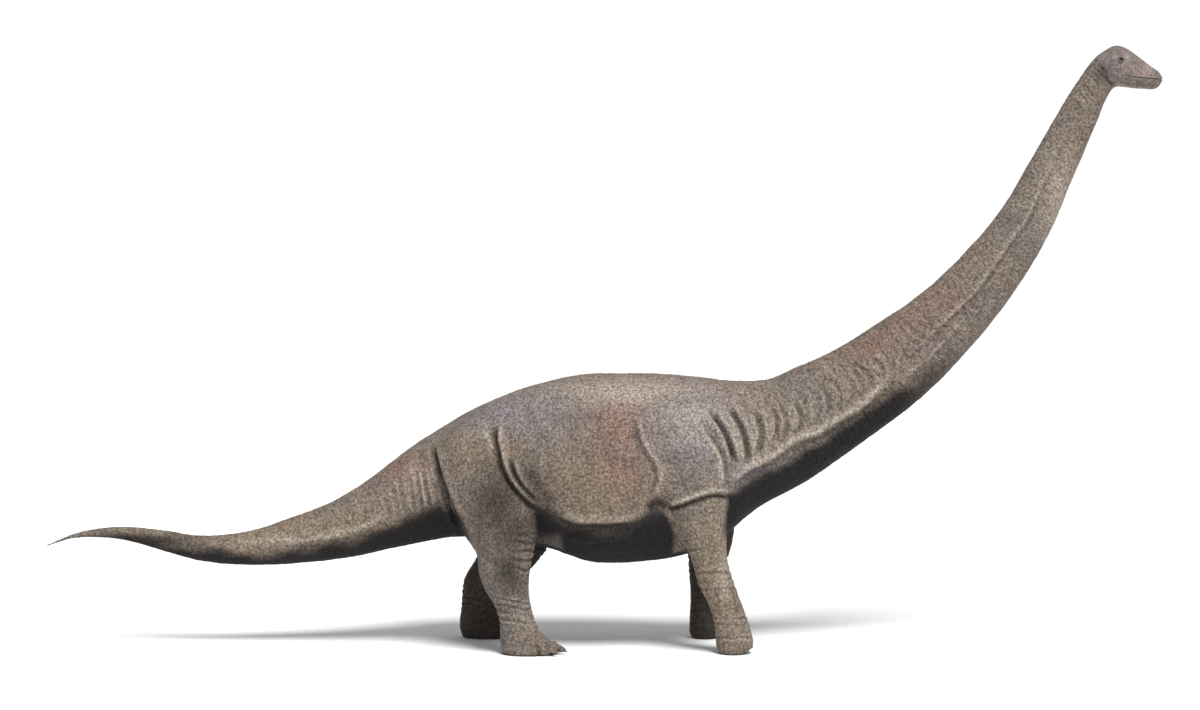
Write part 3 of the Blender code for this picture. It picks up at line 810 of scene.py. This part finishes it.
points = read_points(hide.data)
outward = read_normals(hide.data)
seen = seen_from_side(points) + wander
legs = leg_share(points)
shade_line = curve_through(SHADE_LINE, 0.15)
above, _ = near_line(seen, shade_line)
fold_under = 0.16 * waves(points, 0.6, 21) + 0.05 * waves(points, 0.2, 22)
outer_side = smoothstep(-0.35, 0.15, outward[:, 1] * side) * smoothstep(0.5, 0.8, np.abs(points[:, 1]))
on_legs = np.maximum(legs * smoothstep(2.35, 2.05, seen[:, 1]), upper_leg_share(seen) * outer_side)
# the underside is the animal's own dark belly and painted shade at once; painted shade also falls wherever
# the hide faces down
below_line = smoothstep(0.10, -0.20, above + 0.4 * fold_under) * smoothstep(*NECK_FADE, seen[:, 0])
painted_shade_facing_down = smoothstep(-0.45, -0.85, outward[:, 2]) * 0.9 * smoothstep(*NECK_FADE, seen[:, 0])
dark_belly_and_painted_shade = np.maximum(below_line, painted_shade_facing_down) * (1.0 - on_legs)
# painted shade on the inner sides of the legs
painted_inner_leg_shade = legs * smoothstep(0.1, -0.5, outward[:, 1] * side) * 0.85
rusty = patch(seen, RUST) * np.clip(0.9 + 0.3 * waves(points, 0.5, 23), 0.0, 1.0)
# the soles are darker at the very bottom
sole = smoothstep(0.05, 0.0, points[:, 2])
store(hide.data, "dark_belly_and_painted_shade", np.maximum(dark_belly_and_painted_shade, np.maximum(painted_inner_leg_shade, sole)))
# painted highlights on fold lips and rounded tops
store(hide.data, "pale", np.maximum(pale, 0.68 * patch(seen, PAINTED_HIGHLIGHTS)))
# painted shade in the creases and hollows
store(hide.data, "dark", np.maximum(dark, 0.9 * patch(seen, PAINTED_HOLLOW_SHADE) * facing))
# painted shade spots
store(hide.data, "painted_shade_spots", patch(seen, PAINTED_SHADE_SPOTS))
store(hide.data, "rusty", rusty)
store(hide.data, "lilac", patch(seen, LILAC))
store(hide.data, "tan", patch(seen, TAN))
store(hide.data, "rosy", patch(seen, ROSY))
print("stored colours; under:", round(float(dark_belly_and_painted_shade.mean()), 2), "of the hide")

# %% [markdown]
# ## The hide's own relief
# Thick hide is never smooth: it has low lumps, and fine creases that part it into plates. On the trunk,
# neck and tail the creases run round the body, and on the legs they run round the leg. Sculpting them by
# hand would take days. A Geometry Nodes tree moves every point along its normal by two textures instead,
# and its named inputs set how large and how deep they are. The coordinates are shrunk across the body,
# which stretches the pattern that way.

# %% Lay coordinates along the body
GRAIN_STRETCH = 0.45
AROUND_LEG = 0.55
SKULL_CORNER = np.array([10.0, -9.0, 11.1])

length = float(np.cumsum(np.hypot(*np.diff(middle_line, axis=0).T))[-1])
offset, along = near_line(seen_from_side(points), middle_line)
grain = np.column_stack((along * length, points[:, 1] * GRAIN_STRETCH, offset * GRAIN_STRETCH))
ring_grain = points * np.array([AROUND_LEG, AROUND_LEG, 1.0])
skull = smoothstep(0.30, 0.0, np.linalg.norm(np.maximum(SKULL_CORNER - points, 0.0), axis=1))
bare = np.maximum(skull, smoothstep(0.06, 0.0, points[:, 2]))
bare = np.maximum(bare, 0.8 * smoothstep(*TAIL_THIN[::-1], points[:, 0]))
for spot, reach in ((EYE, 0.11), (NOSTRIL, 0.07)):
    gap = np.linalg.norm(from_one_side(points) - spot, axis=1)
    bare = np.maximum(bare, smoothstep(reach, 0.6 * reach, gap))
on_neck = smoothstep(3.4, 4.6, seen[:, 0]) * smoothstep(8.6, 6.8, seen[:, 0])
wrinkled = 0.4 + 1.7 * on_neck * smoothstep(0.40, 0.75, np.abs(outward[:, 1]))
store(hide.data, "skull", skull)
store(hide.data, "bare", bare)
store(hide.data, "wrinkled", wrinkled)
store(hide.data, "on_leg", legs)
for name, values in (("grain", grain), ("ring_grain", ring_grain)):
    layer = hide.data.attributes.new(name, "FLOAT_VECTOR", "POINT")
    layer.data.foreach_set("vector", np.ascontiguousarray(values, dtype=np.float32).ravel())
print("coordinates run", round(length, 2), "m from the tail's tip to the snout")

# %% [markdown]
# A node tree is a sum written as a drawing: noise gives the lumps, the gaps between Voronoi cells give the
# creases, and the result moves each point along its own normal. A few short functions add the nodes, so
# that each step of the sum fits on a line. They serve for the materials too, whose trees are made of the
# same kinds of nodes.


# %% Make the relief tree
def add_node(tree, kind, inputs=None, **settings):
    """A node with its settings, its inputs linked or set."""
    node = tree.nodes.new(kind)
    for key, value in settings.items():
        setattr(node, key, value)
    for key, value in (inputs or {}).items():
        if isinstance(value, bpy.types.NodeSocket):
            tree.links.new(value, node.inputs[key])
        else:
            node.inputs[key].default_value = value
    return node


def new_tree(name, sizes):
    """A Geometry Nodes tree with geometry in and out, and the named sizes as inputs."""
    tree = bpy.data.node_groups.new(name, "GeometryNodeTree")
    tree.interface.new_socket("Geometry", in_out="INPUT", socket_type="NodeSocketGeometry")
    tree.interface.new_socket("Geometry", in_out="OUTPUT", socket_type="NodeSocketGeometry")
    for label in sizes:
        tree.interface.new_socket(label, in_out="INPUT", socket_type="NodeSocketFloat")
    tree.interface.new_socket("Material", in_out="INPUT", socket_type="NodeSocketMaterial")
    return tree, tree.nodes.new("NodeGroupInput").outputs, tree.nodes.new("NodeGroupOutput").inputs


def set_inputs(modifier, values):
    """Sets a modifier's inputs by the identifiers of their sockets."""
    for item in modifier.node_group.interface.items_tree:
        if item.item_type == "SOCKET" and item.in_out == "INPUT" and item.name in values:
            modifier[item.identifier] = values[item.name]


def math_node(tree, operation, first, second=0.0):
    """The result of one sum on two numbers or sockets."""
    return add_node(tree, "ShaderNodeMath", {0: first, 1: second}, operation=operation).outputs[0]


def field(tree, name, kind="FLOAT"):
    """A named attribute as a socket."""
    found = add_node(tree, "GeometryNodeInputNamedAttribute", {"Name": name}, data_type=kind)
    return found.outputs["Attribute"]


def noise(tree, place, scale, detail):
    """Soft noise, mostly near one half."""
    inputs = {"Vector": place, "Scale": scale, "Detail": detail}
    return add_node(tree, "ShaderNodeTexNoise", inputs).outputs[0]


def cells(tree, place, scale, feature="F1", randomness=1.0):
    """How far each place is from the middle, or from the edge, of its Voronoi cell."""
    inputs = {"Vector": place, "Scale": scale, "Randomness": randomness}
    return add_node(tree, "ShaderNodeTexVoronoi", inputs, feature=feature).outputs["Distance"]


def ranged(tree, value, low, high, to_low=0.0, to_high=1.0, curve="LINEAR"):
    """A number taken from one range to another and held inside it."""
    span = {"Value": value, "From Min": low, "From Max": high, "To Min": to_low, "To Max": to_high}
    return add_node(tree, "ShaderNodeMapRange", span, interpolation_type=curve).outputs[0]


def creased(tree, place, lump_scale, crease_scale, lump_height, crease_depth):
    """Height from soft lumps, less the depth of the creases between plates."""
    level = math_node(tree, "SUBTRACT", noise(tree, place, lump_scale, 3.0), 0.5)
    plates = cells(tree, place, crease_scale, "DISTANCE_TO_EDGE")
    edge = ranged(tree, plates, 0.0, 0.18, 1.0, 0.0, "SMOOTHSTEP")
    depth = math_node(tree, "MULTIPLY", crease_depth, field(tree, "wrinkled"))
    sunk = math_node(tree, "MULTIPLY", edge, depth)
    return math_node(tree, "SUBTRACT", math_node(tree, "MULTIPLY", level, lump_height), sunk)


tree, given, result = new_tree("hide relief", ("Lump Height", "Lump Size", "Crease Depth", "Crease Size"))
lump_scale = math_node(tree, "DIVIDE", 1.0, given["Lump Size"])
crease_scale = math_node(tree, "DIVIDE", 1.0, given["Crease Size"])
on_body = creased(tree, field(tree, "grain", "FLOAT_VECTOR"), lump_scale, crease_scale,
                  given["Lump Height"], given["Crease Depth"])
round_leg = creased(tree, field(tree, "ring_grain", "FLOAT_VECTOR"), lump_scale, crease_scale,
                    given["Lump Height"], given["Crease Depth"])
height = add_node(tree, "ShaderNodeMix", {0: field(tree, "on_leg"), 2: on_body, 3: round_leg}).outputs[0]
height = math_node(tree, "MULTIPLY", height, math_node(tree, "SUBTRACT", 1.0, field(tree, "bare")))
normal = add_node(tree, "GeometryNodeInputNormal").outputs["Normal"]
shift = add_node(tree, "ShaderNodeVectorMath", {0: normal, "Scale": height}, operation="SCALE").outputs[0]
moved = add_node(tree, "GeometryNodeSetPosition", {"Geometry": given["Geometry"], "Offset": shift}).outputs[0]
real = add_node(tree, "GeometryNodeRealizeInstances", {"Geometry": moved}).outputs[0]
finish = {"Geometry": real, "Material": given["Material"]}
dressed = add_node(tree, "GeometryNodeSetMaterial", finish).outputs[0]
tree.links.new(dressed, result["Geometry"])
print("relief tree has", len(tree.nodes), "nodes")

# %% [markdown]
# ## The hide's material
# The colours come from what was stored on the points, mixed one over the other as paint would be, painted
# shade and painted highlights among them. Noise in two sizes breaks each of them up, each pebble is painted
# paler in its middle and darker at its edge, and a pebbled bump stands for scales that are too small to model
# at this size.


# %% Mix the hide's colours
SHEEN = 0.22


def srgb(*screen):
    """A linear colour from the 0 to 255 numbers of a screen."""
    parts = [value / 255 for value in screen]
    return tuple(v / 12.92 if v < 0.04045 else ((v + 0.055) / 1.055) ** 2.4 for v in parts) + (1.0,)


def new_material(name, roughness):
    """A material, its node tree and its surface shader."""
    material = bpy.data.materials.new(name)
    material.use_nodes = True
    shader = material.node_tree.nodes["Principled BSDF"]
    shader.inputs["Roughness"].default_value = roughness
    shader.inputs["Specular IOR Level"].default_value = SHEEN
    return material, material.node_tree, shader


def over(tree, amount, below, above, blend="MIX"):
    """One colour laid over another."""
    node = tree.nodes.new("ShaderNodeMix")
    node.data_type = "RGBA"
    node.blend_type = blend
    for index, value in ((0, amount), (6, below), (7, above)):
        if isinstance(value, bpy.types.NodeSocket):
            tree.links.new(value, node.inputs[index])
        else:
            node.inputs[index].default_value = value
    return node.outputs[2]


def stored(tree, name, strength=1.0):
    """A number that was stored on the points, times a strength."""
    found = add_node(tree, "ShaderNodeAttribute", attribute_name=name).outputs["Fac"]
    return math_node(tree, "MULTIPLY", found, strength)


hide_skin, skin, surface = new_material("grey brown hide with painted light and shade", 0.78)
place = skin.nodes.new("ShaderNodeTexCoord").outputs["Object"]
grain_way = add_node(skin, "ShaderNodeAttribute", attribute_name="grain").outputs["Vector"]
cloud = noise(skin, grain_way, 0.9, 3.0)
streak = noise(skin, grain_way, 5.5, 4.0)
mottle = noise(skin, place, 18.0, 5.0)
skull = stored(skin, "skull")
large = cells(skin, place, 20.0, randomness=0.9)
small = cells(skin, place, 55.0, randomness=0.9)
scales = add_node(skin, "ShaderNodeMix", {0: skull, 2: large, 3: small}).outputs[0]
pebbles = cells(skin, place, 42.0, randomness=0.9)
creases = cells(skin, grain_way, 9.0, "DISTANCE_TO_EDGE")

colour = over(skin, ranged(skin, cloud, 0.35, 0.65), srgb(140, 131, 125), srgb(154, 139, 125))
colour = over(skin, stored(skin, "tan", 0.7), colour, srgb(160, 142, 120))
colour = over(skin, stored(skin, "lilac", 0.8), colour, srgb(148, 142, 150))
colour = over(skin, stored(skin, "rusty", 0.72), colour, srgb(156, 120, 108))
colour = over(skin, stored(skin, "rosy", 0.75), colour, srgb(182, 160, 154))
colour = over(skin, ranged(skin, streak, 0.38, 0.62, 0.35, 0.0), colour, srgb(100, 92, 88))
# painted shade spots, painted highlights on fold lips and rounded tops, the dark belly with painted shade,
# and painted shade in creases and hollows
colour = over(skin, stored(skin, "painted_shade_spots", 0.84), colour, srgb(50, 45, 38))
colour = over(skin, stored(skin, "pale", 0.75), colour, srgb(206, 195, 182))
colour = over(skin, stored(skin, "dark_belly_and_painted_shade", 0.97), colour, srgb(24, 24, 27))
colour = over(skin, stored(skin, "dark", 0.88), colour, srgb(30, 27, 27))
fine = over(skin, ranged(skin, mottle, 0.30, 0.70), srgb(188, 186, 184), srgb(255, 253, 250))
colour = over(skin, 1.0, colour, fine, "MULTIPLY")
# painted light on the pebbles: paler in their middles, darker in the gaps between them
painted_pebble_light = over(skin, ranged(skin, scales, 0.30, 0.75), srgb(255, 255, 255), srgb(190, 187, 184))
colour = over(skin, 1.0, colour, painted_pebble_light, "MULTIPLY")
skin.links.new(colour, surface.inputs["Base Color"])

height = math_node(skin, "MULTIPLY", ranged(skin, scales, 0.0, 0.8, 1.0, 0.0), 0.55)
height = math_node(skin, "ADD", height, math_node(skin, "MULTIPLY", pebbles, -0.25))
on_body = math_node(skin, "SUBTRACT", 1.0, skull)
lines = math_node(skin, "MULTIPLY", ranged(skin, creases, 0.0, 0.14, 0.0, 0.6), on_body)
height = math_node(skin, "ADD", height, lines)
height = math_node(skin, "ADD", height, math_node(skin, "MULTIPLY", streak, 0.8))
reach = ranged(skin, skull, 0.0, 1.0, 0.014, 0.006)
bump = add_node(skin, "ShaderNodeBump", {"Height": height, "Strength": 0.9, "Distance": reach})
skin.links.new(bump.outputs["Normal"], surface.inputs["Normal"])
print("hide material has", len(skin.nodes), "nodes")

# %% [markdown]
# ## Bake the relief and lighten the mesh
# The fine net has far more faces than a model needs. Decimate then joins faces where the hide is flat and
# keeps them where it folds. Its ratio is of triangles, so it is worked out from how many there are.

# %% Bake the relief and lighten the mesh
MOST_TRIANGLES = 190000
RELIEF = {"Lump Height": 0.026, "Lump Size": 0.42, "Crease Depth": 0.010, "Crease Size": 0.17}

relief = hide.modifiers.new("hide relief", "NODES")
relief.node_group = tree
set_inputs(relief, {**RELIEF, "Material": hide_skin})
triangles = sum(len(face.vertices) - 2 for face in hide.data.polygons)
fewer = hide.modifiers.new("fewer faces", "DECIMATE")
fewer.ratio = min(1.0, MOST_TRIANGLES / triangles)
bake_modifiers(hide)
hide.data.shade_smooth()
print("hide:", triangles, "triangles before,", sum(len(f.vertices) - 2 for f in hide.data.polygons), "after")

# %% [markdown]
# ## Eyes
# The eye is a ball with a dark brown iris and a round pupil, wet enough to catch one small highlight. The
# colours are rings about the point that looks out sideways, so one material serves both eyes.

# %% Make the eyes
EYE_RADIUS = 0.056
PUPIL = 0.022
IRIS = 0.040

wet_eye, eye_tree, eye_surface = new_material("dark wet eye", 0.16)
eye_surface.inputs["Coat Weight"].default_value = 0.25
eye_surface.inputs["Coat Roughness"].default_value = 0.03
place = eye_tree.nodes.new("ShaderNodeTexCoord").outputs["Object"]
apart = add_node(eye_tree, "ShaderNodeSeparateXYZ", {0: place})
across = math_node(eye_tree, "SUBTRACT", apart.outputs["X"], float(EYE[0]))
upward = math_node(eye_tree, "SUBTRACT", apart.outputs["Z"], float(EYE[2]))
flat = add_node(eye_tree, "ShaderNodeCombineXYZ", {0: across, 1: upward}).outputs[0]
ring_out = add_node(eye_tree, "ShaderNodeVectorMath", {0: flat}, operation="LENGTH").outputs["Value"]
threads = noise(eye_tree, place, 160.0, 3.0)
iris = over(eye_tree, ranged(eye_tree, threads, 0.35, 0.65), srgb(34, 22, 14), srgb(72, 46, 26))
colour = over(eye_tree, ranged(eye_tree, ring_out, PUPIL - 0.001, PUPIL + 0.001), srgb(3, 3, 3), iris)
colour = over(eye_tree, ranged(eye_tree, ring_out, IRIS - 0.003, IRIS + 0.002), colour, srgb(40, 32, 28))
eye_tree.links.new(colour, eye_surface.inputs["Base Color"])


def eyeball(flank, sign):
    """A smooth ball in the socket of one side."""
    ball = bmesh.new()
    bmesh.ops.create_icosphere(ball, subdivisions=5, radius=EYE_RADIUS)
    bmesh.ops.translate(ball, vec=Vector((EYE[0], sign * EYE[1], EYE[2])), verts=ball.verts)
    thing = tidy_object(f"eyeball_{flank}", ball)
    thing.data.shade_smooth()
    thing.data.materials.append(wet_eye)
    return thing


eyeballs = {flank: eyeball(flank, sign) for flank, sign in (("right", -1), ("left", 1))}
print("eyeballs:", ", ".join(ball.name for ball in eyeballs.values()))

# %% [markdown]
# ## Claws
# A claw is a bone core in a sheath of horn that grows from the root, which leaves faint rings. The solids
# already have the claws' true shape, so each is copied, given a fine net, rounded, and ridged along its
# length.

# %% Make the claws
CLAW_NET = 0.006
RIDGE_GAP = 0.016
RIDGE_HEIGHT = 0.0012

horn, horn_tree, horn_surface = new_material("worn grey horn", 0.55)
place = horn_tree.nodes.new("ShaderNodeTexCoord").outputs["Object"]
worn = noise(horn_tree, place, 14.0, 5.0)
bands = noise(horn_tree, place, 60.0, 3.0)
colour = over(horn_tree, ranged(horn_tree, worn, 0.35, 0.65), srgb(70, 63, 58), srgb(138, 126, 112))
colour = over(horn_tree, ranged(horn_tree, bands, 0.4, 0.7, 0.0, 0.5), colour, srgb(52, 46, 42))
horn_tree.links.new(colour, horn_surface.inputs["Base Color"])
bump = add_node(horn_tree, "ShaderNodeBump", {"Height": bands, "Strength": 0.6, "Distance": 0.003})
horn_tree.links.new(bump.outputs["Normal"], horn_surface.inputs["Normal"])


def drop_crumbs(thing):
    """Keeps the largest island of a mesh; a net leaves crumbs beside a thin edge."""
    mesh = bmesh.new()
    mesh.from_mesh(thing.data)
    islands, left = [], list(mesh.verts)
    while left:
        islands.append(island_of(left[0]))
        left = [vert for vert in left if vert not in islands[-1]]
    for crumb in sorted(islands, key=len)[:-1]:
        bmesh.ops.delete(mesh, geom=list(crumb), context="VERTS")
    mesh.to_mesh(thing.data)
    mesh.free()


def horn_claw(number, flank):
    """A finely netted copy of one claw, with growth ridges."""
    solid = bmesh.new()
    add_solids(solid, [f"claw_{number}_{flank}"])
    claw = tidy_object(f"claw_horn_{number}_{flank}", solid)
    wrap(claw, CLAW_NET)
    drop_crumbs(claw)
    round_off(claw, 4)
    places = read_points(claw.data)
    low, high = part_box(f"claw_{number}_{flank}")
    root = np.array([low.x, (low.y + high.y) / 2, high.z])
    rings = np.sin(2 * np.pi * np.linalg.norm(places - root, axis=1) / RIDGE_GAP)
    places += read_normals(claw.data) * (RIDGE_HEIGHT * rings)[:, None]
    write_points(claw.data, np.maximum(places, [low.x, low.y, low.z]))
    claw.data.shade_smooth()
    claw.data.materials.append(horn)
    return claw


claws = {(number, flank): horn_claw(number, flank) for number in (1, 2, 3) for flank in ("right", "left")}
print("claws:", len(claws), "of", len(claws[1, "right"].data.polygons), "faces or so")

# %% [markdown]
# ## Floor, light and air
# The photograph shows the animal on plain white. A pale round floor, far wider than the animal, ends in
# pale air and gives the same clean ground from every side. One broad sun stands high and a little towards
# the camera, and the air fills the shade, as on a bright hazy day: it is brightest low down, where the
# light comes off the ground. The picture is shown without a film look, so that white stays white.

# %% Set the floor and the light
FLOOR_REACH = 150.0
FLOOR_GAP = 0.002
SUN_STRENGTH = 3.7
SUN_WIDTH = math.radians(22.0)
SUN_WAY = Vector((-0.25, 0.62, -1.0))
AIR_LOW = 1.05
AIR_HIGH = 0.42

floor_white, _, floor_surface = new_material("pale studio floor", 0.9)
floor_surface.inputs["Base Color"].default_value = srgb(243, 243, 243)
floor_surface.inputs["Specular IOR Level"].default_value = 0.1
sheet = bmesh.new()
bmesh.ops.create_circle(sheet, cap_ends=True, segments=96, radius=FLOOR_REACH)
bmesh.ops.translate(sheet, vec=Vector((0, 0, cad_low.z - FLOOR_GAP)), verts=sheet.verts)
floor = tidy_object("studio_floor", sheet)
floor.data.materials.append(floor_white)

sun_data = bpy.data.lights.new("broad high sun", "SUN")
sun_data.energy = SUN_STRENGTH
sun_data.angle = SUN_WIDTH
sun = bpy.data.objects.new("broad high sun", sun_data)
sun.rotation_euler = SUN_WAY.to_track_quat("-Z", "Y").to_euler()
bpy.context.scene.collection.objects.link(sun)

air = bpy.data.worlds.new("pale air")
air.use_nodes = True
way = air.node_tree.nodes.new("ShaderNodeTexCoord").outputs["Generated"]
air.node_tree.nodes["Background"].inputs["Color"].default_value = (1.0, 1.0, 1.0, 1.0)
rise = add_node(air.node_tree, "ShaderNodeSeparateXYZ", {0: way}).outputs["Z"]
bright = ranged(air.node_tree, rise, 0.15, 0.40, AIR_LOW, AIR_HIGH)
air.node_tree.links.new(bright, air.node_tree.nodes["Background"].inputs["Strength"])
bpy.context.scene.world = air
bpy.context.scene.view_settings.view_transform = "Standard"
print("floor, sun and air are set")

# %% [markdown]
# ## Fit the pieces to the solids
# Every piece rides on the animal's one body and stands for the solids it covers, which are hidden. The
# dressed animal's box is measured once more at the end.

# %% Fit the pieces to the solids
floor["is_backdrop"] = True
for piece, slot, nodes in ((hide, "hide", flesh),
                           *((ball, "eye", [f"eye_{flank}"]) for flank, ball in eyeballs.items()),
                           *((claw, "claw", [f"claw_{n}_{flank}"]) for (n, flank), claw in claws.items())):
    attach(piece, "root")
    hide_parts(*nodes)
low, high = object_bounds()
print("pieces stand for", len(flesh) + len(eyeballs) + len(claws), "solids")
